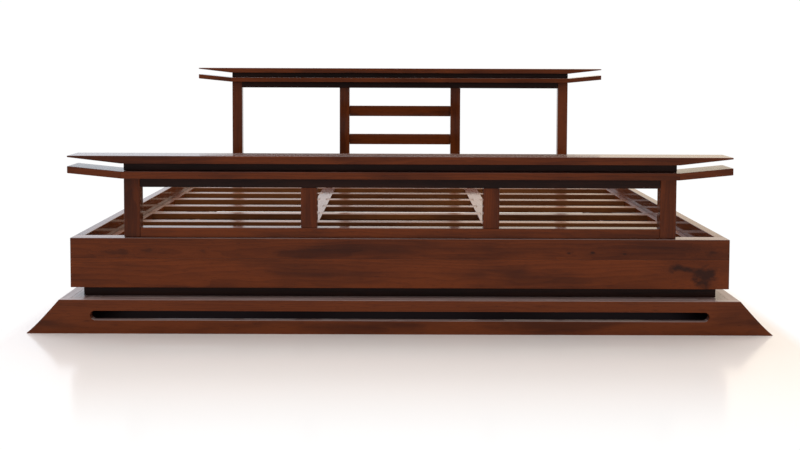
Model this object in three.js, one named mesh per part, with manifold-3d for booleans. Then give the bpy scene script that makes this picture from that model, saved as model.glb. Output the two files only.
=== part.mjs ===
// A low platform bed in dark lacquered hardwood, built as separate boards with cut joints.
// Units are millimetres and +Z is up. The foot end faces -Y, and the origin is on the floor
// under the middle of the bed.
import * as THREE from 'three';
import { mergeVertices } from 'three/addons/utils/BufferGeometryUtils.js';
import Module from 'manifold-3d';

const wasm = await Module();
wasm.setup();

// The space that the mattress lies in, between the four rails of the box
const SPACE_WIDTH = 1820;
const SPACE_LENGTH = 2016;
const SPACE_DEPTH = 46;

// The rails of the box
const RAIL_HEIGHT = 142;
const SIDE_RAIL_THICKNESS = 28;
const END_RAIL_THICKNESS = 52;

// The base: two end boards, two flared side skirts, and the flat shelf along their inner top edge
const BASE_HEIGHT = 97;
const BASE_LEDGE = 26;
const END_BOARD_THICKNESS = 22;
const SHELF_THICKNESS = 22;
const SHELF_DEPTH = 110;
const SKIRT_WALL = 48;
const FLARE_REACH = 92;
const FLARE_TOP_SLOPE = 0.87;
const FLARE_TIP_SLOPE = 1.4;
const FLARE_TIP_HEIGHT = 2;
const FLARE_STEPS = 14;

// The long slot in each end board
const SLOT_HEIGHT = 26;
const SLOT_FLOOR = 39;
const SLOT_MARGIN = 88;
const SLOT_END_STEPS = 10;

// The set-back riser between the base and the box
const RISER_HEIGHT = 29;
const RISER_INSET = 30;
const RISER_THICKNESS = 40;

// The deck: ledgers along the side rails, two beams, and loose slats in three bays
const LEDGER_WIDTH = 20;
const BEAM_WIDTH = 55;
const BAYS = 3;
const SLAT_ROWS = 9;
const SLAT_WIDTH = 50;
const SLAT_THICKNESS = 20;
const SLAT_SEAT = 15;
const SLAT_PLAY = 1;

// The footboard and the headboard
const FOOTBOARD_HEIGHT = 236;
const HEADBOARD_HEIGHT = 470;
const POST_WIDTH = 46;
const POST_DEPTH = 40;
const MIDDLE_POST_SPACING = 520;
const BOTTOM_RAIL_HEIGHT = 28;
const TOP_RAIL_HEIGHT = 27;
const BACK_SLAT_HEIGHT = 49;
const BACK_SLAT_THICKNESS = 20;
const BACK_SLATS = 2;

// The two caps with the spacer between them
const CAP_DEPTH = 106;
const WING_LENGTH = 151;
const LOWER_CAP_THICKNESS = 20;
const LOWER_CAP_WING_RISE = 15;
const SPACER_HEIGHT = 22;
const TOP_CAP_THICKNESS = 22;
const TOP_CAP_TIP = 4.5;

// The cut joints
const TENON_THICKNESS = 14;
const TENON_LENGTH = 14;
const TENON_SHOULDER = 7;
const RAIL_TENON_THICKNESS = 12;
const RAIL_TENON_LENGTH = 16;
const RAIL_TENON_SHOULDER = 24;
const GAP = 0.3;

// Sizes that follow from the ones above
const BOX_WIDTH = SPACE_WIDTH + 2 * SIDE_RAIL_THICKNESS;
const BOX_LENGTH = SPACE_LENGTH + 2 * END_RAIL_THICKNESS;
const BASE_WIDTH = BOX_WIDTH + 2 * BASE_LEDGE;
const BASE_LENGTH = BOX_LENGTH + 2 * BASE_LEDGE;
const RISER_BOTTOM = BASE_HEIGHT + GAP;
const RISER_TOP = RISER_BOTTOM + RISER_HEIGHT;
const BOX_BOTTOM = RISER_TOP + GAP;
const BOX_TOP = BOX_BOTTOM + RAIL_HEIGHT;
const DECK_TOP = BOX_TOP - SPACE_DEPTH;
const BAY_WIDTH = (SPACE_WIDTH - 2 * LEDGER_WIDTH - (BAYS - 1) * BEAM_WIDTH) / BAYS;
const ROW_PITCH = SPACE_LENGTH / (SLAT_ROWS + 1);
const OUTER_POST_FACE = BOX_WIDTH / 2 - WING_LENGTH;
const OUTER_POST_X = OUTER_POST_FACE - POST_WIDTH / 2;
const POST_LINE = SPACE_LENGTH / 2 + POST_DEPTH / 2;
const STACK_HEIGHT = LOWER_CAP_THICKNESS + SPACER_HEIGHT + TOP_CAP_THICKNESS + 3 * GAP;

const LACQUER = { color: 0x5a2d1c, roughness: 0.28, metalness: 0 };
const DARK_STAIN = { color: 0x2a1612, roughness: 0.5, metalness: 0 };
const SLAT_LACQUER = { color: 0x66381f, roughness: 0.36, metalness: 0 };

// A block of timber between two corners, kept as a Box3 so that joints can be worked out from it.
function block(x0, x1, y0, y1, z0, z1) {
  return new THREE.Box3(new THREE.Vector3(x0, y0, z0), new THREE.Vector3(x1, y1, z1));
}

function blockGeometry(box) {
  const size = box.getSize(new THREE.Vector3());
  const centre = box.getCenter(new THREE.Vector3());
  return new THREE.BoxGeometry(size.x, size.y, size.z).translate(centre.x, centre.y, centre.z);
}

// An outline drawn in X and Z, given a length along Y and centred on Y = 0.
function crossways(shape, length, curveSegments) {
  const geometry = new THREE.ExtrudeGeometry(shape, { depth: length, bevelEnabled: false, curveSegments });
  return geometry.rotateX(Math.PI / 2).translate(0, length / 2, 0);
}

function toSolid(geometry) {
  geometry.deleteAttribute('normal');
  geometry.deleteAttribute('uv');
  const merged = mergeVertices(geometry);
  return new wasm.Manifold(new wasm.Mesh({
    numProp: 3,
    vertProperties: merged.attributes.position.array,
    triVerts: Uint32Array.from(merged.index.array),
  }));
}

function toGeometry(solid) {
  const { vertProperties, triVerts } = solid.getMesh();
  const geometry = new THREE.BufferGeometry();
  geometry.setAttribute('position', new THREE.BufferAttribute(vertProperties, 3));
  geometry.setIndex(new THREE.BufferAttribute(triVerts, 1));
  geometry.computeVertexNormals();
  return geometry;
}

// A block that its neighbour's tenon or end goes into is cut with the joint's clearance all round.
function joined(geometry, tenons, mortises) {
  let solid = toSolid(geometry);
  for (const tenon of tenons) {
    solid = solid.add(toSolid(blockGeometry(tenon)));
  }
  for (const mortise of mortises) {
    solid = solid.subtract(toSolid(blockGeometry(mortise.clone().expandByScalar(GAP))));
  }
  return toGeometry(solid);
}

// A named mesh whose geometry is centred on its own origin and put back in place by its position.
function piece(name, geometry, finish) {
  geometry.computeBoundingBox();
  const centre = geometry.boundingBox.getCenter(new THREE.Vector3());
  geometry.translate(-centre.x, -centre.y, -centre.z);
  const mesh = new THREE.Mesh(geometry, new THREE.MeshStandardMaterial(finish));
  mesh.name = name;
  mesh.position.copy(centre);
  return mesh;
}

function timber(name, box, { tenons = [], mortises = [], finish = LACQUER } = {}) {
  return piece(name, joined(blockGeometry(box), tenons, mortises), finish);
}

function moved(box, x, y, z) {
  return box.clone().translate(new THREE.Vector3(x, y, z));
}

// The flare: a hollow curve from the base's top edge down to a thin tip on the floor. The curve's
// control point is where its two end slopes meet.
function flareControl() {
  const drop = BASE_HEIGHT - FLARE_TIP_HEIGHT;
  const height = (FLARE_TOP_SLOPE * drop - FLARE_REACH) / (FLARE_TOP_SLOPE - FLARE_TIP_SLOPE);
  return { out: FLARE_REACH - FLARE_TIP_SLOPE * height, z: FLARE_TIP_HEIGHT + height };
}

function endBoardOutline() {
  const top = BASE_WIDTH / 2;
  const tip = top + FLARE_REACH;
  const control = flareControl();
  const shape = new THREE.Shape();
  shape.moveTo(-tip, 0);
  shape.lineTo(tip, 0);
  shape.lineTo(tip, FLARE_TIP_HEIGHT);
  shape.quadraticCurveTo(top + control.out, control.z, top, BASE_HEIGHT);
  shape.lineTo(-top, BASE_HEIGHT);
  shape.quadraticCurveTo(-top - control.out, control.z, -tip, FLARE_TIP_HEIGHT);
  shape.closePath();
  return shape;
}

function slotGeometry() {
  const radius = SLOT_HEIGHT / 2;
  const reach = BASE_WIDTH / 2 - SLOT_MARGIN - radius;
  const middle = SLOT_FLOOR + radius;
  const shape = new THREE.Shape();
  shape.absarc(reach, middle, radius, -Math.PI / 2, Math.PI / 2, false);
  shape.absarc(-reach, middle, radius, Math.PI / 2, 1.5 * Math.PI, false);
  shape.closePath();
  return crossways(shape, 4 * END_BOARD_THICKNESS, SLOT_END_STEPS);
}

// An end board with its slot and the length of shelf behind its top edge, facing -Y.
function endBoard(name) {
  const shelfReach = BASE_WIDTH / 2 - SHELF_DEPTH - GAP;
  const back = END_BOARD_THICKNESS / 2;
  const shelf = block(
    -shelfReach, shelfReach, 0, SHELF_DEPTH - back, BASE_HEIGHT - SHELF_THICKNESS, BASE_HEIGHT,
  );
  const board = toSolid(crossways(endBoardOutline(), END_BOARD_THICKNESS, FLARE_STEPS));
  const withShelf = board.add(toSolid(blockGeometry(shelf)));
  const mesh = piece(name, toGeometry(withShelf.subtract(toSolid(slotGeometry()))), LACQUER);
  mesh.position.y += back - BASE_LENGTH / 2;
  return mesh;
}

// A side skirt in section: flared face, floor edge, sloping back, and the shelf's underside and edge.
function skirtOutline() {
  const top = BASE_WIDTH / 2;
  const tip = top + FLARE_REACH;
  const control = flareControl();
  const shelfUnderside = BASE_HEIGHT - SHELF_THICKNESS;
  const faceAtShelf = top + FLARE_TOP_SLOPE * SHELF_THICKNESS;
  const shape = new THREE.Shape();
  shape.moveTo(tip, FLARE_TIP_HEIGHT);
  shape.quadraticCurveTo(top + control.out, control.z, top, BASE_HEIGHT);
  shape.lineTo(top - SHELF_DEPTH, BASE_HEIGHT);
  shape.lineTo(top - SHELF_DEPTH, shelfUnderside);
  shape.lineTo(faceAtShelf - SKIRT_WALL, shelfUnderside);
  shape.lineTo(tip - SKIRT_WALL, 0);
  shape.lineTo(tip, 0);
  shape.closePath();
  return shape;
}

function skirt(name) {
  const length = BASE_LENGTH - 2 * (END_BOARD_THICKNESS + GAP);
  return piece(name, crossways(skirtOutline(), length, FLARE_STEPS), LACQUER);
}

// The same piece for the opposite side, turned half round about the bed's middle.
function turned(mesh) {
  const turn = new THREE.Group();
  turn.rotation.z = Math.PI;
  turn.add(mesh);
  return turn;
}

function makeBase() {
  const base = new THREE.Group();
  base.add(endBoard('base_front_board'));
  base.add(turned(endBoard('base_rear_board')));
  base.add(skirt('base_skirt_right'));
  base.add(turned(skirt('base_skirt_left')));
  return base;
}

// The riser's four boards are glued up as one frame.
function makeRiser() {
  const halfWidth = BOX_WIDTH / 2 - RISER_INSET;
  const halfLength = BOX_LENGTH / 2 - RISER_INSET;
  const innerWidth = halfWidth - RISER_THICKNESS;
  const innerLength = halfLength - RISER_THICKNESS;
  const frame = toSolid(blockGeometry(
    block(-halfWidth, halfWidth, -halfLength, halfLength, RISER_BOTTOM, RISER_TOP),
  ));
  const opening = toSolid(blockGeometry(
    block(-innerWidth, innerWidth, -innerLength, innerLength, 0, BOX_TOP),
  ));
  return piece('riser_frame', toGeometry(frame.subtract(opening)), DARK_STAIN);
}

// The tenon at one end of a side rail; end is 1 at the head and -1 at the foot.
function sideRailTenon(side, end) {
  const x = side * (SPACE_WIDTH + SIDE_RAIL_THICKNESS) / 2;
  const root = SPACE_LENGTH / 2 - RAIL_TENON_LENGTH;
  const tip = SPACE_LENGTH / 2 + RAIL_TENON_LENGTH;
  return block(
    x - RAIL_TENON_THICKNESS / 2, x + RAIL_TENON_THICKNESS / 2,
    Math.min(end * root, end * tip), Math.max(end * root, end * tip),
    BOX_BOTTOM + RAIL_TENON_SHOULDER, BOX_TOP - RAIL_TENON_SHOULDER,
  );
}

// A tenon on the end of an upright post, between two heights above the rails' top edge.
function postTenon(x, z0, z1) {
  const half = POST_WIDTH / 2 - TENON_SHOULDER;
  return block(x - half, x + half, -TENON_THICKNESS / 2, TENON_THICKNESS / 2, z0, z1);
}

function sideRail(name, side) {
  const inner = SPACE_WIDTH / 2;
  const outer = inner + SIDE_RAIL_THICKNESS;
  const halfLength = SPACE_LENGTH / 2 - GAP;
  const board = block(
    Math.min(side * inner, side * outer), Math.max(side * inner, side * outer),
    -halfLength, halfLength, BOX_BOTTOM, BOX_TOP,
  );
  return timber(name, board, { tenons: [sideRailTenon(side, -1), sideRailTenon(side, 1)] });
}

function endRail(name, end) {
  const inner = SPACE_LENGTH / 2;
  const outer = BOX_LENGTH / 2;
  const board = block(
    -BOX_WIDTH / 2, BOX_WIDTH / 2,
    Math.min(end * inner, end * outer), Math.max(end * inner, end * outer), BOX_BOTTOM, BOX_TOP,
  );
  const mortises = [-1, 1].flatMap((side) => [
    sideRailTenon(side, end),
    moved(postTenon(side * OUTER_POST_X, -TENON_LENGTH, TENON_LENGTH), 0, end * POST_LINE, BOX_TOP),
  ]);
  return timber(name, board, { mortises });
}

function makeBox() {
  const box = new THREE.Group();
  box.add(endRail('foot_rail', -1));
  box.add(endRail('head_rail', 1));
  box.add(sideRail('side_rail_left', -1));
  box.add(sideRail('side_rail_right', 1));
  return box;
}

// Where the bay numbered from the left starts, and the y of the row numbered from the foot.
function bayStart(bay) {
  return -SPACE_WIDTH / 2 + LEDGER_WIDTH + bay * (BAY_WIDTH + BEAM_WIDTH);
}

function rowY(row) {
  return -SPACE_LENGTH / 2 + row * ROW_PITCH;
}

function slatBox(bay, row) {
  return block(
    bayStart(bay) - SLAT_SEAT + GAP, bayStart(bay) + BAY_WIDTH + SLAT_SEAT - GAP,
    rowY(row) - SLAT_WIDTH / 2, rowY(row) + SLAT_WIDTH / 2, DECK_TOP - SLAT_THICKNESS, DECK_TOP,
  );
}

const rows = Array.from({ length: SLAT_ROWS }, (unused, index) => index + 1);
const bays = Array.from({ length: BAYS }, (unused, index) => index);

// Every notch is a slat's own box with some play along the bearer, open at the top.
function slatNotches() {
  const notch = new THREE.Vector3(0, SLAT_PLAY, 0);
  return rows.flatMap((row) => bays.map((bay) => slatBox(bay, row).expandByVector(notch)));
}

function bearer(name, x0, x1) {
  const halfLength = SPACE_LENGTH / 2 - GAP;
  const board = block(x0, x1, -halfLength, halfLength, BOX_BOTTOM, DECK_TOP);
  return timber(name, board, { mortises: slatNotches().filter((notch) => notch.intersectsBox(board)) });
}

function makeDeck() {
  const deck = new THREE.Group();
  const wall = SPACE_WIDTH / 2 - GAP;
  const ledge = SPACE_WIDTH / 2 - LEDGER_WIDTH;
  deck.add(bearer('ledger_left', -wall, -ledge));
  deck.add(bearer('ledger_right', ledge, wall));
  deck.add(bearer('beam_left', bayStart(1) - BEAM_WIDTH, bayStart(1)));
  deck.add(bearer('beam_right', bayStart(2) - BEAM_WIDTH, bayStart(2)));
  for (const row of rows) {
    ['left', 'centre', 'right'].forEach((bayName, bay) => {
      deck.add(timber(`slat_${row}_${bayName}`, slatBox(bay, row), { finish: SLAT_LACQUER }));
    });
  }
  return deck;
}

// A tenon on the end of a crosswise bar, running into the post on either side of x.
function barTenon(x, z0, z1, thickness) {
  return block(
    x - TENON_LENGTH, x + TENON_LENGTH, -thickness / 2, thickness / 2,
    z0 + TENON_SHOULDER, z1 - TENON_SHOULDER,
  );
}

function bar(name, reach, z0, z1, depth, tenonThickness, mortises, finish) {
  const ends = reach - GAP;
  const box = block(-ends, ends, -depth / 2, depth / 2, z0, z1);
  const tenons = [barTenon(-reach, z0, z1, tenonThickness), barTenon(reach, z0, z1, tenonThickness)];
  return timber(name, box, { tenons, mortises, finish });
}

function post(name, x, z0, z1, mortises) {
  const half = POST_WIDTH / 2;
  const box = block(x - half, x + half, -POST_DEPTH / 2, POST_DEPTH / 2, z0, z1);
  const foot = postTenon(x, z0 - TENON_LENGTH, z0 + TENON_LENGTH);
  const head = postTenon(x, z1 - TENON_LENGTH, z1 + TENON_LENGTH);
  return timber(name, box, { tenons: [foot, head], mortises });
}

// The lower cap: level between the outer posts, then a wing rising outwards at each end.
function lowerCapOutline() {
  const kink = OUTER_POST_FACE;
  const end = BOX_WIDTH / 2;
  const rise = LOWER_CAP_WING_RISE;
  const top = LOWER_CAP_THICKNESS;
  const shape = new THREE.Shape();
  shape.moveTo(-end, rise);
  shape.lineTo(-kink, 0);
  shape.lineTo(kink, 0);
  shape.lineTo(end, rise);
  shape.lineTo(end, rise + top);
  shape.lineTo(kink, top);
  shape.lineTo(-kink, top);
  shape.lineTo(-end, rise + top);
  shape.closePath();
  return shape;
}

// The top cap: flat above, its underside rising to a thin edge beyond the outer posts.
function topCapOutline() {
  const kink = OUTER_POST_FACE;
  const end = BOX_WIDTH / 2;
  const underside = TOP_CAP_THICKNESS - TOP_CAP_TIP;
  const shape = new THREE.Shape();
  shape.moveTo(-end, underside);
  shape.lineTo(-kink, 0);
  shape.lineTo(kink, 0);
  shape.lineTo(end, underside);
  shape.lineTo(end, TOP_CAP_THICKNESS);
  shape.lineTo(-end, TOP_CAP_THICKNESS);
  shape.closePath();
  return shape;
}

function cap(name, outline, z0, mortises) {
  const geometry = crossways(outline, CAP_DEPTH).translate(0, 0, z0);
  return piece(name, joined(geometry, [], mortises), LACQUER);
}

// The frame that stands on an end rail, with z = 0 on the rail's top edge and y = 0 on the post line.
function makeEndFrame(prefix, height, backSlats) {
  const frame = new THREE.Group();
  const bottomRail = { z0: GAP, z1: GAP + BOTTOM_RAIL_HEIGHT };
  const lowerCap = height - STACK_HEIGHT + GAP;
  const topRail = { z0: lowerCap - GAP - TOP_RAIL_HEIGHT, z1: lowerCap - GAP };
  const spacer = lowerCap + LOWER_CAP_THICKNESS + GAP;
  const topCap = spacer + SPACER_HEIGHT + GAP;
  const innerReach = OUTER_POST_X - POST_WIDTH / 2;
  const middleX = MIDDLE_POST_SPACING / 2;
  const middleFoot = bottomRail.z1 + GAP;
  const middleHead = topRail.z0 - GAP;
  const slatGap = (topRail.z0 - bottomRail.z1 - backSlats * BACK_SLAT_HEIGHT) / (backSlats + 1);
  const slatReach = middleX - POST_WIDTH / 2;
  const slatLevels = Array.from({ length: backSlats }, (unused, index) => {
    const z0 = bottomRail.z1 + slatGap + index * (slatGap + BACK_SLAT_HEIGHT);
    return { z0, z1: z0 + BACK_SLAT_HEIGHT };
  });

  const slatTenonThickness = BACK_SLAT_THICKNESS / 2;
  for (const [label, side] of [['left', -1], ['right', 1]]) {
    const railMortises = [bottomRail, topRail].map(
      (rail) => barTenon(side * innerReach, rail.z0, rail.z1, TENON_THICKNESS),
    );
    frame.add(post(`${prefix}_outer_post_${label}`, side * OUTER_POST_X, GAP, topRail.z1, railMortises));
    const slatMortises = slatLevels.map(
      (level) => barTenon(side * slatReach, level.z0, level.z1, slatTenonThickness),
    );
    frame.add(post(`${prefix}_middle_post_${label}`, side * middleX, middleFoot, middleHead, slatMortises));
  }

  const footMortises = [-middleX, middleX].map((x) => postTenon(x, middleFoot - TENON_LENGTH, middleFoot));
  const headMortises = [-middleX, middleX].map((x) => postTenon(x, middleHead, middleHead + TENON_LENGTH));
  const capMortises = [-OUTER_POST_X, OUTER_POST_X].map(
    (x) => postTenon(x, topRail.z1 - TENON_LENGTH, topRail.z1 + TENON_LENGTH),
  );
  frame.add(bar(
    `${prefix}_bottom_rail`, innerReach, bottomRail.z0, bottomRail.z1, POST_DEPTH, TENON_THICKNESS,
    footMortises, LACQUER,
  ));
  frame.add(bar(
    `${prefix}_top_rail`, innerReach, topRail.z0, topRail.z1, POST_DEPTH, TENON_THICKNESS,
    headMortises, DARK_STAIN,
  ));
  slatLevels.forEach((level, index) => {
    frame.add(bar(
      `${prefix}_back_slat_${index + 1}`, slatReach, level.z0, level.z1, BACK_SLAT_THICKNESS,
      slatTenonThickness, [], LACQUER,
    ));
  });

  const spacerBox = block(
    -OUTER_POST_FACE, OUTER_POST_FACE, -POST_DEPTH / 2, POST_DEPTH / 2, spacer, spacer + SPACER_HEIGHT,
  );
  frame.add(cap(`${prefix}_lower_cap`, lowerCapOutline(), lowerCap, capMortises));
  frame.add(timber(`${prefix}_spacer`, spacerBox, { finish: DARK_STAIN }));
  frame.add(cap(`${prefix}_top_cap`, topCapOutline(), topCap, []));
  return frame;
}

function makeFootboard() {
  const footboard = makeEndFrame('footboard', FOOTBOARD_HEIGHT, 0);
  footboard.position.set(0, -POST_LINE, BOX_TOP);
  return footboard;
}

function makeHeadboard() {
  const headboard = makeEndFrame('headboard', HEADBOARD_HEIGHT, BACK_SLATS);
  headboard.position.set(0, POST_LINE, BOX_TOP);
  return headboard;
}

const bed = new THREE.Group();
bed.add(makeBase());
bed.add(makeRiser());
bed.add(makeBox());
bed.add(makeDeck());
bed.add(makeFootboard());
bed.add(makeHeadboard());

export default bed;
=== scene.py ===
"""A low platform bed in dark lacquered hardwood, dressed board by board around its fixed frame.

All lengths are metres. The foot end faces -Y, and the floor is Z = 0.
"""

import logging
import math
import random
from dataclasses import dataclass
from enum import Enum

import bmesh
import bpy
from mathutils import Matrix, Vector


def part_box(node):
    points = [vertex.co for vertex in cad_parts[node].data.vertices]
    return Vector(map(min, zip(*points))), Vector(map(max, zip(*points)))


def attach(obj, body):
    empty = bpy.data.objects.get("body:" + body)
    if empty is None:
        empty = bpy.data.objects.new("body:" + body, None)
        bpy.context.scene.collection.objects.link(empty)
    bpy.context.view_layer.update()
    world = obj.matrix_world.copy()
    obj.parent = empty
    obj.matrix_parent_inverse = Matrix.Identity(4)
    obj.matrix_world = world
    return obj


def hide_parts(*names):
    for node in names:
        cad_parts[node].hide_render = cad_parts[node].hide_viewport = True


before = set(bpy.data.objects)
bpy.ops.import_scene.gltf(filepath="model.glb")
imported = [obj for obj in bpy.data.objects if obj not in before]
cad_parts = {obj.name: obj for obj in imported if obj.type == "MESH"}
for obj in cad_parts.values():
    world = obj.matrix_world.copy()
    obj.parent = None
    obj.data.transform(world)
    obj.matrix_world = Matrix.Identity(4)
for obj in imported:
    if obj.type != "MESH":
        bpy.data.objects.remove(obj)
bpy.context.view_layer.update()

log = logging.getLogger("bed")

Colour = tuple[float, float, float]
Point = tuple[float, float, float]

# Corners closer than this are one corner, and edges this near a cut lie on it
MERGE = 2e-5
ON_CUT = 1e-5
# Faces that meet below the first angle are one face, above the second their edge is rounded,
# and above the third it is shaded as a sharp line
FLAT_ANGLE = math.radians(0.05)
ROUND_ANGLE = math.radians(28)
SHARP_ANGLE = math.radians(50)
# Edges below this height stand on the floor and stay sharp
FLOOR_EDGE = 0.003

# How steeply a face must point upward to count as an upper edge, which gets a painted highlight, or
# along an axis to count as flat
UPPER_EDGE_NORMAL = 0.2
FLAT_NORMAL = 0.7
# How worn the other edges are, where an upper edge with its painted highlight is 1
LOWER_EDGE_WEAR_AND_HIGHLIGHT = 0.3

# How far each feature turns the light wood into the dark
RING_SHARE = 0.24
CLOUD_SHARE = 0.38
FIBRE_SHARE = 0.20
TONE_SHARE = 0.30

# How strongly streaks, pores and end grain darken the wood
MINERAL_SHARE = 0.55
PORE_SHARE = 0.55
END_SHARE = 0.55

# How far the rings wander, and how far a knot bends them
RING_WANDER = 0.055
KNOT_BEND = 0.045
KNOT_RAGGEDNESS = 2.2

# Dust with a painted sheen on upward faces, the bare wood's shine, and the lacquer's refraction
DUST_AND_SHEEN_COLOUR = (0.42, 0.32, 0.31)
WOOD_SPECULAR = 0.04
LACQUER_IOR = 1.17

# The white background and the white part of the floor
WHITE = (1.0, 1.0, 1.0, 1.0)
WHITE_STRENGTH = 1.02


class Grain(Enum):
    """Which way a board's grain runs, as the order of its along, across and through axes."""

    CROSSWISE = (0, 2, 1)
    LENGTHWISE = (1, 2, 0)
    UPRIGHT = (2, 0, 1)


class Slot(Enum):
    """The record's material slots."""

    LACQUER = "lacquered_hardwood"
    DARK = "dark_stained_hardwood"
    SLAT = "lacquered_slat_wood"


@dataclass
class NodeBench:
    """A short way to lay out shader nodes.

    Args:
        tree: the node tree that the nodes are added to.
    """

    tree: bpy.types.NodeTree

    def add(self, kind: str, inputs: dict | None = None, **settings: object) -> bpy.types.Node:
        """Adds a node, sets it, and fills its inputs.

        Args:
            kind: the node's type name.
            inputs: values or output sockets, by input name or index.
            settings: the node's own properties.

        Returns:
            The new node.
        """
        node = self.tree.nodes.new(kind)
        for key, value in settings.items():
            setattr(node, key, value)
        for key, value in (inputs or {}).items():
            if isinstance(value, bpy.types.NodeSocket):
                self.tree.links.new(value, node.inputs[key])
            else:
                node.inputs[key].default_value = value
        return node

    def maths(self, operation: str, first: object, second: object = 0.0,
              clamp: bool = False) -> object:
        """Returns the output of a Math node with two inputs."""
        return self.add(
            "ShaderNodeMath", {0: first, 1: second}, operation=operation, use_clamp=clamp
        ).outputs[0]

    def stretch(self, vector: object, scale: Point) -> object:
        """Returns the vector scaled along each axis."""
        return self.add("ShaderNodeMapping", {"Vector": vector, "Scale": scale}).outputs[0]

    def noise(self, vector: object, scale: float, detail: float, rough: float = 0.55) -> object:
        """Returns the value of a noise pattern."""
        return self.add(
            "ShaderNodeTexNoise",
            {"Vector": vector, "Scale": scale, "Detail": detail, "Roughness": rough},
        ).outputs[0]

    def span(self, value: object, low: float, high: float, out_low: float = 0.0,
             out_high: float = 1.0) -> object:
        """Returns the value moved from one range to another, smoothly and with its ends held."""
        return self.add(
            "ShaderNodeMapRange",
            {
                "Value": value, "From Min": low, "From Max": high,
                "To Min": out_low, "To Max": out_high,
            },
            interpolation_type="SMOOTHSTEP",
        ).outputs[0]

    def mix(self, factor: object, first: object, second: object) -> object:
        """Returns a mix of two colours."""
        first = (*first, 1.0) if isinstance(first, tuple) else first
        second = (*second, 1.0) if isinstance(second, tuple) else second
        return self.add(
            "ShaderNodeMix", {0: factor, 6: first, 7: second}, data_type="RGBA"
        ).outputs[2]


@dataclass(frozen=True)
class Knot:
    """A swirl in the grain round a knot.

    Args:
        x: its place across the bed.
        z: its height.
        width: half its width along the grain.
        height: half its height.
        strength: how dark its heart is.
    """

    x: float
    z: float
    width: float
    height: float
    strength: float = 0.8


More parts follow.
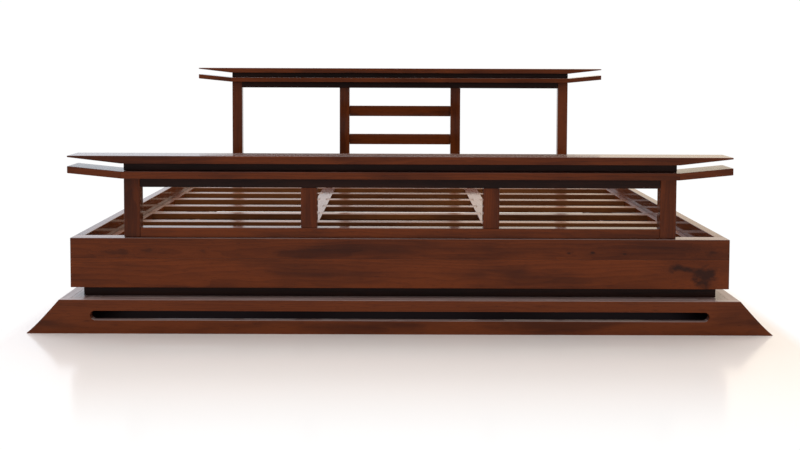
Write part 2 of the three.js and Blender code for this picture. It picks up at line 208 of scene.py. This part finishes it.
@dataclass(frozen=True)
class WoodFinish:
    """Stained hardwood under lacquer.

    Args:
        name: the material's name.
        slot: the record's slot it belongs to; not used.
        light: the early wood's colour.
        dark: the late wood's colour.
        streak: the colour of dark mineral streaks.
        worn_and_highlight: the colour that shows along rubbed edges, partly wear and partly a
            painted highlight that is strongest on upper edges.
        ring_spacing: the distance between growth rings.
        roughness: the wood's roughness under the lacquer.
        coat: how much lacquer there is.
        coat_roughness: how dull the lacquer is.
        wear_and_highlight: how far the edges are rubbed and painted with highlights.
        dust_and_sheen: how much pale dust and painted sheen lies on what faces upward.
        knots: swirls in the figure.
    """

    name: str
    slot: Slot
    light: Colour
    dark: Colour
    streak: Colour
    worn_and_highlight: Colour
    ring_spacing: float = 0.007
    roughness: float = 0.38
    coat: float = 1.0
    coat_roughness: float = 0.07
    wear_and_highlight: float = 0.8
    dust_and_sheen: float = 0.13
    knots: tuple[Knot, ...] = ()

    def material(self) -> bpy.types.Material:
        """Returns this finish's material, made the first time it is asked for."""
        made = bpy.data.materials.get(self.name)
        return made or self._build()

    def _swirl(self, bench: NodeBench, radius: object) -> tuple[object, object]:
        """Bends the rings round each knot.

        Args:
            bench: where the nodes go.
            radius: the distance from the pith.

        Returns:
            The bent distance, and how much of a knot's heart there is.
        """
        heart: object = 0.0
        if not self.knots:
            return radius, heart
        place = bench.add("ShaderNodeTexCoord").outputs["Object"]
        warp = bench.noise(bench.stretch(place, (1.0, 1.0, 1.6)), 22.0, 3.0)
        for knot in self.knots:
            apart = bench.add(
                "ShaderNodeMapping",
                {
                    "Vector": place,
                    "Location": (-knot.x / knot.width, 0.0, -knot.z / knot.height),
                    "Scale": (1 / knot.width, 0.0, 1 / knot.height),
                },
            ).outputs[0]
            reach = bench.add("ShaderNodeVectorMath", {0: apart}, operation="LENGTH")
            reach = reach.outputs["Value"]
            ragged = bench.maths("MULTIPLY", bench.maths("SUBTRACT", warp, 0.5), KNOT_RAGGEDNESS)
            reach = bench.maths("ADD", reach, ragged)
            near = bench.span(reach, 0.15, 1.5, 1.0, 0.0)
            radius = bench.maths("ADD", radius, bench.maths("MULTIPLY", near, KNOT_BEND))
            core = bench.span(reach, 0.05, 0.85, 1.0, 0.0)
            core = bench.maths("MULTIPLY", core, knot.strength)
            heart = bench.maths("MAXIMUM", heart, core)
        return radius, heart

    def _build(self) -> bpy.types.Material:
        """Returns a new material with rings, streaks, fibres, pores, end grain, rubbed edges with
        painted highlights on the upper ones, and dust with painted sheen.
        """
        material = bpy.data.materials.new(self.name)
        material.use_nodes = True
        material.diffuse_color = (*self.light, 1.0)
        material.node_tree.nodes.clear()
        bench = NodeBench(material.node_tree)

        timber = bench.add("ShaderNodeAttribute", attribute_name="timber").outputs["Vector"]
        edge = bench.add("ShaderNodeAttribute", attribute_name="edge").outputs["Fac"]
        end = bench.add("ShaderNodeAttribute", attribute_name="end_grain").outputs["Fac"]
        tone = bench.add("ShaderNodeAttribute", attribute_name="tone").outputs["Fac"]
        upward = bench.add("ShaderNodeAttribute", attribute_name="upward").outputs["Fac"]

        parts = bench.add("ShaderNodeSeparateXYZ", {0: timber}).outputs
        across = bench.maths("POWER", parts[1], 2.0)
        through = bench.maths("POWER", parts[2], 2.0)
        radius = bench.maths("SQRT", bench.maths("ADD", across, through))
        wander = bench.noise(bench.stretch(timber, (1.6, 9.0, 9.0)), 1.0, 3.0)
        radius = bench.maths("ADD", radius, bench.maths("MULTIPLY", wander, RING_WANDER))
        radius, heart = self._swirl(bench, radius)
        turns = bench.maths("FRACT", bench.maths("DIVIDE", radius, self.ring_spacing))
        rings = bench.span(turns, 0.25, 1.0)

        streaks = bench.noise(bench.stretch(timber, (0.9, 26.0, 26.0)), 1.0, 4.0)
        streaks = bench.span(streaks, 0.36, 0.70)
        clouds = bench.noise(bench.stretch(timber, (3.5, 16.0, 16.0)), 1.0, 3.0)
        clouds = bench.span(clouds, 0.36, 0.68)
        fibres = bench.noise(bench.stretch(timber, (9.0, 620.0, 620.0)), 1.0, 3.0, 0.7)
        pores = bench.noise(bench.stretch(timber, (38.0, 900.0, 900.0)), 1.0, 1.0)
        pores = bench.span(pores, 0.64, 0.72)

        late = bench.maths("MULTIPLY", rings, RING_SHARE)
        late = bench.maths("ADD", late, bench.maths("MULTIPLY", clouds, CLOUD_SHARE))
        strands = bench.span(fibres, 0.3, 0.7)
        late = bench.maths("ADD", late, bench.maths("MULTIPLY", strands, FIBRE_SHARE))
        late = bench.maths("SUBTRACT", late, bench.maths("MULTIPLY", tone, TONE_SHARE), clamp=True)
        colour = bench.mix(late, self.light, self.dark)
        mineral = bench.maths("MULTIPLY", bench.maths("MULTIPLY", streaks, clouds), MINERAL_SHARE)
        mineral = bench.maths("MAXIMUM", mineral, heart)
        colour = bench.mix(mineral, colour, self.streak)
        colour = bench.mix(bench.maths("MULTIPLY", pores, PORE_SHARE), colour, self.streak)
        colour = bench.mix(bench.maths("MULTIPLY", end, END_SHARE), colour, self.dark)
        # Rubbed edges, painted paler on the upper edges as a painted highlight
        rub_and_highlight_pattern = bench.noise(bench.stretch(timber, (14.0, 60.0, 60.0)), 1.0, 3.0)
        rub_and_highlight_pattern = bench.span(rub_and_highlight_pattern, 0.42, 0.68)
        rubbed_and_highlight = bench.maths("MULTIPLY", bench.maths("MULTIPLY", edge, rub_and_highlight_pattern), self.wear_and_highlight)
        colour = bench.mix(rubbed_and_highlight, colour, self.worn_and_highlight)

        # Dust and painted sheen: what faces upward is painted paler
        dust_and_sheen_film = bench.noise(bench.stretch(timber, (3.0, 80.0, 80.0)), 1.0, 4.0)
        dust_and_sheen_film = bench.span(dust_and_sheen_film, 0.3, 0.75, 0.5, 1.0)
        dust_and_sheen_film = bench.maths("MULTIPLY", bench.maths("MULTIPLY", upward, dust_and_sheen_film), self.dust_and_sheen)
        colour = bench.mix(dust_and_sheen_film, colour, DUST_AND_SHEEN_COLOUR)

        gloss = bench.span(fibres, 0.2, 0.8, self.roughness - 0.06, self.roughness + 0.10)
        gloss = bench.maths("ADD", gloss, bench.maths("MULTIPLY", rubbed_and_highlight, 0.15), clamp=True)
        height = bench.maths("SUBTRACT", bench.maths("MULTIPLY", fibres, 0.5), pores)
        bump = bench.add(
            "ShaderNodeBump", {"Strength": 0.35, "Distance": 0.0004, "Height": height}
        )
        ripple = bench.noise(bench.stretch(timber, (3.0, 30.0, 30.0)), 1.0, 2.0)
        sheet = bench.add(
            "ShaderNodeBump", {"Strength": 0.10, "Distance": 0.0006, "Height": ripple}
        )
        shader = bench.add(
            "ShaderNodeBsdfPrincipled",
            {
                "Base Color": colour,
                "Roughness": gloss,
                "Normal": bump.outputs[0],
                "Coat Normal": sheet.outputs[0],
                "Specular IOR Level": WOOD_SPECULAR,
                "Coat Weight": self.coat,
                "Coat Roughness": self.coat_roughness,
                "Coat IOR": LACQUER_IOR,
            },
        )
        bench.add("ShaderNodeOutputMaterial", {"Surface": shader.outputs[0]})
        return material


@dataclass(frozen=True)
class Cut:
    """A saw cut through a joined piece, which keeps the side its normal points away from.

    Args:
        point: a point on the cut.
        normal: the direction of the side that goes.
    """

    point: Point
    normal: Point


@dataclass
class Board:
    """One real board, shaped from a node of the frame.

    Args:
        node: the frame's node it stands for.
        grain: which way its grain runs.
        finish: its finish.
        name: the piece's name, or the node's with a suffix when left empty.
        ease: how far its edges are rounded over.
        segments: how many steps the rounding has.
        cuts: saw cuts that part it from the boards it is joined to.
        tone: how light it is, from -1 to 1, or chosen by its name when None.
    """

    node: str
    grain: Grain
    finish: WoodFinish
    name: str = ""
    ease: float = 0.0018
    segments: int = 3
    cuts: tuple[Cut, ...] = ()
    tone: float | None = None

    def build(self) -> bpy.types.Object:
        """Returns the finished piece, riding on the root body in place of its node."""
        name = self.name or self.node + "_board"
        shaper = bmesh.new()
        shaper.from_mesh(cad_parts[self.node].data)
        self._plane(shaper)
        for cut in self.cuts:
            self._saw(shaper, cut)
            self._plane(shaper)
        rounded = self._ease(shaper)
        mesh = bpy.data.meshes.new(name)
        for face in shaper.faces:
            face.smooth = True
        shaper.normal_update()
        for line in shaper.edges:
            line.smooth = not line.is_manifold or line.calc_face_angle(0.0) < SHARP_ANGLE
        self._mark(shaper, rounded, name)
        leaks = sum(1 for line in shaper.edges if not line.is_manifold)
        shaper.to_mesh(mesh)
        shaper.free()
        mesh.materials.clear()
        mesh.materials.append(self.finish.material())
        piece = bpy.data.objects.new(name, mesh)
        bpy.context.scene.collection.objects.link(piece)
        weighted = piece.modifiers.new("even_normals", "WEIGHTED_NORMAL")
        weighted.keep_sharp = True
        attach(piece, "root")
        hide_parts(self.node)
        mesh.calc_loop_triangles()
        log.info("%s: %d triangles, %d open edges", name, len(mesh.loop_triangles), leaks)
        return piece

    def _plane(self, shaper: bmesh.types.BMesh) -> None:
        """Joins doubled corners and clears lines that lie flat in a face."""
        bmesh.ops.remove_doubles(shaper, verts=shaper.verts, dist=MERGE)
        bmesh.ops.dissolve_limit(
            shaper, angle_limit=FLAT_ANGLE, verts=shaper.verts, edges=shaper.edges
        )

    def _saw(self, shaper: bmesh.types.BMesh, cut: Cut) -> None:
        """Takes away one side of a cut and closes the sawn face."""
        everything = [*shaper.verts, *shaper.edges, *shaper.faces]
        bmesh.ops.bisect_plane(
            shaper, geom=everything, dist=MERGE, plane_co=cut.point, plane_no=cut.normal,
            clear_outer=True,
        )
        rim = [line for line in shaper.edges if line.is_boundary]
        bmesh.ops.holes_fill(shaper, edges=rim, sides=0)
        bmesh.ops.recalc_face_normals(shaper, faces=shaper.faces)

    def _sawn(self, line: bmesh.types.BMEdge, cut: Cut) -> bool:
        """Returns whether an edge lies on a saw cut."""
        way, point = Vector(cut.normal).normalized(), Vector(cut.point)
        return all(abs((vertex.co - point).dot(way)) < ON_CUT for vertex in line.verts)

    def _ease(self, shaper: bmesh.types.BMesh) -> set[bmesh.types.BMFace]:
        """Rounds the board's outer edges.

        Edges on the floor or on a saw cut stay sharp, and so do those that run into an inner
        corner, as on a tenon or round a mortise.

        Args:
            shaper: the board's mesh.

        Returns:
            The faces of the rounding.
        """
        turned = [
            line for line in shaper.edges
            if line.is_manifold and line.calc_face_angle(0.0) > ROUND_ANGLE
        ]
        inner = {vertex for line in turned if not line.is_convex for vertex in line.verts}
        corners = [
            line for line in turned
            if line.is_convex and inner.isdisjoint(line.verts)
            and max(vertex.co.z for vertex in line.verts) > FLOOR_EDGE
            and not any(self._sawn(line, cut) for cut in self.cuts)
        ]
        done = bmesh.ops.bevel(
            shaper, geom=corners, offset=self.ease, offset_type="OFFSET",
            segments=self.segments, profile=0.5, affect="EDGES", clamp_overlap=False, material=-1,
        )
        return set(done["faces"])

    def _mark(self, shaper: bmesh.types.BMesh, rounded: set[bmesh.types.BMFace],
              name: str) -> None:
        """Writes the marks that the materials read.

        Args:
            shaper: the board's mesh.
            rounded: the faces of the rounding.
            name: the piece's name, which settles its place in the log.
        """
        dice = random.Random(name)
        along, across, through = self.grain.value
        shift = Vector(
            (dice.uniform(0, 9), dice.uniform(0.02, 0.07), dice.uniform(0.05, 0.12))
        )
        middle = sum((vertex.co for vertex in shaper.verts), Vector()) / len(shaper.verts)
        timber = shaper.verts.layers.float_vector.new("timber")
        tone = shaper.verts.layers.float.new("tone")
        level = dice.uniform(-1, 1) if self.tone is None else self.tone
        for vertex in shaper.verts:
            place = vertex.co - middle
            vertex[timber] = Vector((place[along], place[across], place[through])) + shift
            vertex[tone] = level
        edge = shaper.faces.layers.float.new("edge")
        end = shaper.faces.layers.float.new("end_grain")
        upward = shaper.faces.layers.float.new("upward")
        for face in shaper.faces:
            # Upper edges get the full painted highlight on top of their wear
            wear_and_highlight = 1.0 if face.normal.z > UPPER_EDGE_NORMAL else LOWER_EDGE_WEAR_AND_HIGHLIGHT
            face[edge] = wear_and_highlight if face in rounded else 0.0
            face[upward] = 1.0 if face.normal.z > FLAT_NORMAL else 0.0
            face[end] = 1.0 if abs(face.normal[along]) > FLAT_NORMAL else 0.0


@dataclass(frozen=True)
class Finishes:
    """The bed's finishes: three woods, figured wood for the foot rail, and dust with painted sheen
    on the plinth.
    """

    lacquer: WoodFinish = WoodFinish(
        name="red_brown_lacquer", slot=Slot.LACQUER, light=(0.142, 0.0295, 0.0055),
        dark=(0.056, 0.0110, 0.0028), streak=(0.020, 0.0062, 0.0036), worn_and_highlight=(0.42, 0.26, 0.19),
    )
    figured: WoodFinish = WoodFinish(
        name="figured_red_brown_lacquer", slot=Slot.LACQUER, light=(0.142, 0.0295, 0.0055),
        dark=(0.056, 0.0110, 0.0028), streak=(0.018, 0.0055, 0.0034), worn_and_highlight=(0.42, 0.26, 0.19),
        knots=(
            Knot(0.808, 0.186, 0.052, 0.026, 0.90),
            Knot(0.866, 0.162, 0.072, 0.042, 0.88),
            Knot(0.890, 0.232, 0.060, 0.024, 0.60),
            Knot(0.480, 0.2300, 0.010, 0.006, 0.8),
            Knot(0.549, 0.2300, 0.009, 0.005, 0.8),
            Knot(0.640, 0.2275, 0.012, 0.006, 0.8),
            Knot(-0.810, 0.2270, 0.060, 0.012, 0.55),
            Knot(-0.730, 0.2330, 0.030, 0.009, 0.60),
            Knot(-0.560, 0.2320, 0.020, 0.010, 0.40),
        ),
        # The foot rail's upward faces are painted pale as a painted highlight along its top edge
        dust_and_sheen=0.7,
    )
    plinth: WoodFinish = WoodFinish(
        name="dusty_painted_sheen_red_brown_lacquer", slot=Slot.LACQUER, light=(0.138, 0.0320, 0.0085),
        dark=(0.062, 0.0125, 0.0050), streak=(0.020, 0.0062, 0.0036), worn_and_highlight=(0.42, 0.26, 0.19),
        # The plinth's ledge is painted pale grey, partly dust and partly painted sheen
        dust_and_sheen=1.0,
    )
    # Dark stain that also paints in the shade on the recessed riser and on the top rails and
    # spacers under the caps
    dark: WoodFinish = WoodFinish(
        name="dark_brown_stain_and_painted_shade", slot=Slot.DARK, light=(0.030, 0.0095, 0.006),
        dark=(0.013, 0.0050, 0.0040), streak=(0.006, 0.003, 0.003), worn_and_highlight=(0.085, 0.038, 0.024),
        roughness=0.5, coat=0.7, coat_roughness=0.24, wear_and_highlight=0.35,
    )
    slat: WoodFinish = WoodFinish(
        name="warm_brown_slat_lacquer", slot=Slot.SLAT, light=(0.200, 0.068, 0.020),
        dark=(0.085, 0.025, 0.009), streak=(0.030, 0.011, 0.007), worn_and_highlight=(0.34, 0.18, 0.11),
        ring_spacing=0.005, coat_roughness=0.20, wear_and_highlight=0.55,
    )


@dataclass
class Base:
    """The flared plinth: two slotted end boards, two side skirts, and the shelf inside them.

    Args:
        finish: its finish.
        board_face: how far the end boards' inner faces stand from the middle.
        skirt_face: how far the skirts' inner faces stand from the middle.
        joint: the width of the line where a shelf meets its board.
        face_ease: how far the outer boards' edges are rounded over.
        board_tone: how light the end boards are.
        shelf_tone: how light the shelves behind them are.
    """

    finish: WoodFinish
    board_face: float = 1.0640
    skirt_face: float = 0.93514
    joint: float = 0.0006
    face_ease: float = 0.0014
    board_tone: float = 0.8
    shelf_tone: float = -0.3

    def boards(self) -> list[Board]:
        """Returns the plinth's eight boards."""
        made: list[Board] = []
        for end, way in (("front", -1.0), ("rear", 1.0)):
            node = f"base_{end}_board"
            outer = Cut((0.0, way * self.board_face, 0.0), (0.0, -way, 0.0))
            inner = Cut((0.0, way * (self.board_face - self.joint), 0.0), (0.0, way, 0.0))
            made.append(Board(node, Grain.CROSSWISE, self.finish, f"{node}_face", self.face_ease,
                              cuts=(outer,), tone=self.board_tone))
            made.append(Board(node, Grain.CROSSWISE, self.finish, f"{node}_shelf",
                              cuts=(inner,), tone=self.shelf_tone))
        for side, way in (("left", -1.0), ("right", 1.0)):
            node = f"base_skirt_{side}"
            outer = Cut((way * self.skirt_face, 0.0, 0.0), (-way, 0.0, 0.0))
            inner = Cut((way * (self.skirt_face - self.joint), 0.0, 0.0), (way, 0.0, 0.0))
            made.append(Board(node, Grain.LENGTHWISE, self.finish, f"{node}_face", self.face_ease,
                              cuts=(outer,)))
            made.append(Board(node, Grain.LENGTHWISE, self.finish, f"{node}_shelf", cuts=(inner,)))
        return made


@dataclass
class Riser:
    """The set-back riser, four boards mitred at the corners.

    Args:
        finish: its finish.
        joint: half the width of a mitre's line.
    """

    finish: WoodFinish
    joint: float = 0.0003

    def boards(self) -> list[Board]:
        """Returns the riser's four boards."""
        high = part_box("riser_frame")[1]
        reach_x, reach_y = high.x, high.y
        made: list[Board] = []
        for name, way in (("front", -1.0), ("rear", 1.0)):
            cuts = tuple(
                Cut((side * (reach_x - self.joint), way * reach_y, 0.0), (side, -way, 0.0))
                for side in (-1.0, 1.0)
            )
            made.append(Board("riser_frame", Grain.CROSSWISE, self.finish, f"riser_{name}",
                              cuts=cuts))
        for name, way in (("left", -1.0), ("right", 1.0)):
            cuts = tuple(
                Cut((way * reach_x, end * (reach_y - self.joint), 0.0), (-way, end, 0.0))
                for end in (-1.0, 1.0)
            )
            made.append(Board("riser_frame", Grain.LENGTHWISE, self.finish, f"riser_{name}",
                              cuts=cuts))
        return made


@dataclass
class MattressBox:
    """The deep box: foot and head rails glued up from two planks each, and two side rails.

    Args:
        finish: the side rails' and head rail's finish.
        figured: the foot rail's finish.
        glue_line: the height where the two planks meet.
        joint: the width of the glue line.
        plank_ease: how far the planks' edges are rounded over.
        foot_tones: how light the foot rail's upper and lower planks are.
        head_tones: how light the head rail's upper and lower planks are.
    """

    finish: WoodFinish
    figured: WoodFinish
    glue_line: float = 0.2106
    joint: float = 0.0003
    plank_ease: float = 0.0016
    foot_tones: tuple[float, float] = (-0.75, 0.35)
    head_tones: tuple[float, float] = (0.1, -0.2)

    def boards(self) -> list[Board]:
        """Returns the box's six boards."""
        made: list[Board] = []
        for node, finish, tones in (("foot_rail", self.figured, self.foot_tones),
                                    ("head_rail", self.finish, self.head_tones)):
            upper = Cut((0.0, 0.0, self.glue_line + self.joint), (0.0, 0.0, -1.0))
            lower = Cut((0.0, 0.0, self.glue_line), (0.0, 0.0, 1.0))
            made.append(Board(node, Grain.CROSSWISE, finish, f"{node}_upper_plank",
                              self.plank_ease, cuts=(upper,), tone=tones[0]))
            made.append(Board(node, Grain.CROSSWISE, finish, f"{node}_lower_plank",
                              self.plank_ease, cuts=(lower,), tone=tones[1]))
        made += [Board(f"side_rail_{side}", Grain.LENGTHWISE, self.finish)
                 for side in ("left", "right")]
        return made


@dataclass
class Deck:
    """Ledgers, beams and loose slats in three bays.

    Args:
        frame_finish: the ledgers' and beams' finish.
        slat_finish: the slats' finish.
        rows: how many rows of slats there are.
        slat_ease: how far the slats' edges are rounded over.
        bearer_ease: how far the ledgers' and beams' edges are rounded over.
    """

    frame_finish: WoodFinish
    slat_finish: WoodFinish
    rows: int = 9
    slat_ease: float = 0.0022
    bearer_ease: float = 0.0012

    def boards(self) -> list[Board]:
        """Returns the deck's thirty-one boards."""
        made = [Board(f"{part}_{side}", Grain.LENGTHWISE, self.frame_finish,
                      ease=self.bearer_ease, segments=2)
                for part in ("ledger", "beam") for side in ("left", "right")]
        for row in range(1, self.rows + 1):
            for bay in ("left", "centre", "right"):
                made.append(Board(f"slat_{row}_{bay}", Grain.CROSSWISE, self.slat_finish,
                                  ease=self.slat_ease))
        return made


@dataclass
class EndFrame:
    """A footboard or headboard: posts and rails under two winged caps.

    Args:
        name: footboard or headboard.
        finish: the finish of its posts, bottom rail and caps.
        shaded: the finish of its top rail and spacer, a dark stain that also paints in the shade
            under the caps.
        back_slats: how many slats stand between the middle posts.
        wing: how far from the middle a lower cap's wings begin.
        joint: the width of the line where a wing meets the cap.
        cap_tone: how light its caps are.
        outer_ease: how far its outer posts' edges are rounded over.
        middle_ease: the same for its middle posts, less where two mortises share a face.
        cap_ease: how far its top cap's edges are rounded over.
    """

    name: str
    finish: WoodFinish
    shaded: WoodFinish
    back_slats: int = 0
    wing: float = 0.787
    joint: float = 0.0005
    cap_tone: float = 0.0
    outer_ease: float = 0.0022
    middle_ease: float = 0.0022
    cap_ease: float = 0.0016

    def boards(self) -> list[Board]:
        """Returns the end frame's boards."""
        made = [Board(f"{self.name}_{part}_post_{side}", Grain.UPRIGHT, self.finish, ease=ease)
                for part, ease in (("outer", self.outer_ease), ("middle", self.middle_ease))
                for side in ("left", "right")]
        made.append(Board(f"{self.name}_bottom_rail", Grain.CROSSWISE, self.finish))
        made.append(Board(f"{self.name}_top_rail", Grain.CROSSWISE, self.shaded))
        made.append(Board(f"{self.name}_spacer", Grain.CROSSWISE, self.shaded))
        made.append(Board(f"{self.name}_top_cap", Grain.CROSSWISE, self.finish,
                          ease=self.cap_ease, tone=self.cap_tone))
        made += [Board(f"{self.name}_back_slat_{number}", Grain.CROSSWISE, self.finish)
                 for number in range(1, self.back_slats + 1)]
        node = f"{self.name}_lower_cap"
        inside = tuple(
            Cut((way * self.wing, 0.0, 0.0), (way, 0.0, 0.0)) for way in (-1.0, 1.0)
        )
        made.append(Board(node, Grain.CROSSWISE, self.finish, f"{node}_middle", cuts=inside,
                          tone=self.cap_tone))
        for side, way in (("left", -1.0), ("right", 1.0)):
            outside = Cut((way * (self.wing + self.joint), 0.0, 0.0), (-way, 0.0, 0.0))
            made.append(Board(node, Grain.CROSSWISE, self.finish, f"{node}_wing_{side}",
                              cuts=(outside,), tone=self.cap_tone))
        return made


@dataclass
class Studio:
    """The floor, the soft light and the camera.

    Args:
        eye: where the camera stands.
        pitch: how far it looks down, in degrees.
        yaw: how far it turns to the right, in degrees.
        roll: how far it leans, in radians.
        lens: its focal length in millimetres.
        sensor: its sensor's width in millimetres.
        shift: its vertical shift.
        front_dim: how bright the room is in front of the bed.
        floor_reach: how far the floor runs from the middle.
        floor_colour: the floor's colour.
        bed_reach: how far the bed runs from the middle, for the floor's colour.
        clearing: how fast the floor turns white to the side and lengthwise.
        floor_clear: how far out from the bed the floor begins and ends turning white.
        painted_shade_colour: the near-black colour painted on the floor under the base as painted
            shade.
        shade_side: where that painted shade fades out under the skirts.
        painted_shade_end: where that painted shade fades out under the end boards.
    """

    eye: Point = (-0.0039, -4.1758, 0.7736)
    pitch: float = 3.113
    yaw: float = 0.047
    roll: float = 0.0035
    lens: float = 49.70
    sensor: float = 36.0
    shift: float = -0.13
    front_dim: float = 0.55
    floor_reach: float = 30.0
    floor_colour: Colour = (0.92, 0.875, 0.86)
    bed_reach: Point = (1.05, 1.08, 0.0)
    clearing: Point = (12.0, 1.0, 0.0)
    floor_clear: tuple[float, float] = (0.30, 1.05)
    painted_shade_colour: Colour = (0.012, 0.009, 0.010)
    shade_side: tuple[float, float] = (0.98, 1.01)
    painted_shade_end: tuple[float, float] = (1.05, 1.07)

    def build(self) -> None:
        """Sets up the whole studio."""
        self._camera()
        self._floor()
        self._room()
        self._softbox("overhead_softbox", (0.0, 0.4, 3.4), (0.0, 0.0, 0.0), (4.5, 4.5), 95.0)
        self._softbox(
            "front_softbox", (-0.6, -4.2, 2.6), (math.radians(58), 0.0, 0.0), (3.0, 2.0), 20.0
        )
        bpy.context.scene.view_settings.view_transform = "Standard"

    def _camera(self) -> None:
        """Makes the scene's camera."""
        data = bpy.data.cameras.new("camera")
        data.lens, data.sensor_width, data.shift_y = self.lens, self.sensor, self.shift
        camera = bpy.data.objects.new("camera", data)
        turn = Matrix.Rotation(math.radians(-self.yaw), 4, "Z")
        tilt = Matrix.Rotation(math.radians(90.0 - self.pitch), 4, "X")
        lean = Matrix.Rotation(self.roll, 4, "Z")
        camera.matrix_world = Matrix.Translation(self.eye) @ turn @ tilt @ lean
        bpy.context.scene.collection.objects.link(camera)
        bpy.context.scene.camera = camera

    def _floor(self) -> None:
        """Makes the pale floor with a soft sheen."""
        shaper = bmesh.new()
        bmesh.ops.create_grid(shaper, x_segments=1, y_segments=1, size=self.floor_reach)
        mesh = bpy.data.meshes.new("floor")
        shaper.to_mesh(mesh)
        shaper.free()
        floor = bpy.data.objects.new("floor", mesh)
        mesh.materials.append(self._floor_finish())
        bpy.context.scene.collection.objects.link(floor)

    def _floor_finish(self) -> bpy.types.Material:
        """Returns a polished pale floor, white a little way out from the bed, with near-black
        painted shade under it.
        """
        material = bpy.data.materials.new("pale_floor")
        material.use_nodes = True
        material.node_tree.nodes.clear()
        bench = NodeBench(material.node_tree)
        place = bench.add("ShaderNodeTexCoord").outputs["Object"]
        size = bench.add("ShaderNodeVectorMath", {0: place}, operation="ABSOLUTE").outputs[0]
        past = bench.add(
            "ShaderNodeVectorMath", {0: size, 1: self.bed_reach}, operation="SUBTRACT"
        )
        past = bench.add("ShaderNodeVectorMath", {0: past.outputs[0]}, operation="MAXIMUM")
        past = bench.add(
            "ShaderNodeVectorMath", {0: past.outputs[0], 1: self.clearing}, operation="MULTIPLY"
        )
        away = bench.add("ShaderNodeVectorMath", {0: past.outputs[0]}, operation="LENGTH")
        clear = bench.span(away.outputs["Value"], *self.floor_clear)
        polish = bench.add(
            "ShaderNodeBsdfPrincipled",
            {"Base Color": (*self.floor_colour, 1.0), "Roughness": 0.16, "IOR": 1.6},
        )
        white = bench.add("ShaderNodeEmission", {"Color": WHITE, "Strength": WHITE_STRENGTH})
        both = bench.add(
            "ShaderNodeMixShader", {0: clear, 1: polish.outputs[0], 2: white.outputs[0]}
        )
        # The floor under the base is painted near-black as painted shade, whatever the lamps do
        reach = bench.add("ShaderNodeSeparateXYZ", {0: size}).outputs
        within_x = bench.span(reach[0], *self.shade_side, 1.0, 0.0)
        within_y = bench.span(reach[1], *self.painted_shade_end, 1.0, 0.0)
        painted_shade_mask = bench.maths("MULTIPLY", within_x, within_y)
        shade = bench.add("ShaderNodeBsdfDiffuse", {"Color": (*self.painted_shade_colour, 1.0)})
        whole = bench.add(
            "ShaderNodeMixShader", {0: painted_shade_mask, 1: both.outputs[0], 2: shade.outputs[0]}
        )
        bench.add("ShaderNodeOutputMaterial", {"Surface": whole.outputs[0]})
        return material

    def _room(self) -> None:
        """Makes a white room, cooler on the left, warmer on the right and dimmer in front."""
        world = bpy.data.worlds.new("white_room")
        world.use_nodes = True
        world.node_tree.nodes.clear()
        bench = NodeBench(world.node_tree)
        way = bench.add("ShaderNodeTexCoord").outputs["Generated"]
        parts = bench.add("ShaderNodeSeparateXYZ", {0: way}).outputs
        sideways = bench.span(parts[0], -0.28, 0.28)
        tint = bench.mix(sideways, (0.93, 0.98, 1.06), (1.02, 0.88, 0.70))
        behind = bench.span(parts[1], -0.8, 0.3)
        tint = bench.mix(behind, tuple(self.front_dim * c for c in (1.0, 0.97, 0.94)), tint)
        glow = bench.add("ShaderNodeBackground", {"Color": tint, "Strength": 1.0})
        white = bench.add("ShaderNodeBackground", {"Color": WHITE, "Strength": WHITE_STRENGTH})
        seen = bench.add("ShaderNodeLightPath").outputs["Is Camera Ray"]
        both = bench.add("ShaderNodeMixShader", {0: seen, 1: glow.outputs[0], 2: white.outputs[0]})
        bench.add("ShaderNodeOutputWorld", {"Surface": both.outputs[0]})
        bpy.context.scene.world = world

    def _softbox(self, name: str, place: Point, turn: Point, size: tuple[float, float],
                 power: float) -> None:
        """Hangs a rectangular light.

        Args:
            name: the light's name.
            place: where it hangs.
            turn: its turn, in radians.
            size: its width and depth.
            power: its power in watts.
        """
        data = bpy.data.lights.new(name, "AREA")
        data.shape, data.size, data.size_y, data.energy = "RECTANGLE", size[0], size[1], power
        light = bpy.data.objects.new(name, data)
        light.location, light.rotation_euler = place, turn
        bpy.context.scene.collection.objects.link(light)


def main() -> None:
    """Builds every sub-assembly in order, then the studio."""
    logging.basicConfig(level=logging.INFO, format="%(name)s: %(message)s")
    finishes = Finishes()
    assemblies = (
        Base(finishes.plinth),
        Riser(finishes.dark),
        MattressBox(finishes.lacquer, finishes.figured),
        Deck(finishes.lacquer, finishes.slat),
        EndFrame("footboard", finishes.lacquer, finishes.dark, cap_tone=-0.8),
        EndFrame("headboard", finishes.lacquer, finishes.dark, back_slats=2,
                 middle_ease=0.0008),
    )
    pieces = [board.build() for assembly in assemblies for board in assembly.boards()]
    log.info("%d pieces", len(pieces))
    Studio().build()


if __name__ == "__main__":
    main()
